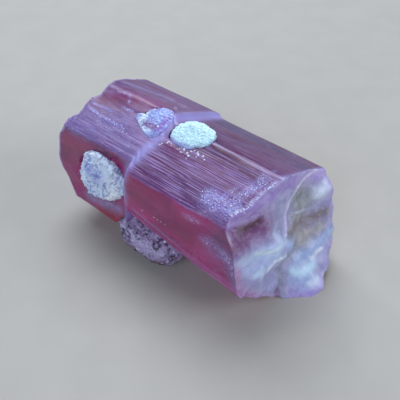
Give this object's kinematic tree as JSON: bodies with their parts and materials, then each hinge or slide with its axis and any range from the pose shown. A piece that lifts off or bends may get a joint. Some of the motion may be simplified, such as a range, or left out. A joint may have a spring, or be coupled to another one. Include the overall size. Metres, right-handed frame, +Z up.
{
  "type": "tourmaline crystal",
  "caption": "Pink elbaite tourmaline crystal lying on a prism edge, with long growth ridges, a growth ring, a broken near end and grains of white albite grown onto it.",
  "frame": {"origin": "on the table under the middle of the whole piece's bounding box", "axes": "+X along the crystal's long axis towards its near, obliquely broken end, +Z up, -Y the smooth front face"},
  "size_m": [0.0386, 0.0196, 0.0191],
  "materials": {
    "rubellite": "clear to hazy pink-red crystal, glassy on the smooth faces, frosted along its growth ridges and dull on the broken ends",
    "albite": "sugary, granular white to bluish-white feldspar"
  },
  "bodies": {
    "root": {"tourmaline_crystal": "rubellite", "albite_side_grain": "albite", "albite_top_patch": "albite", "albite_ridge_patch": "albite", "albite_base_grain": "albite"}
  },
  "joints": []
}
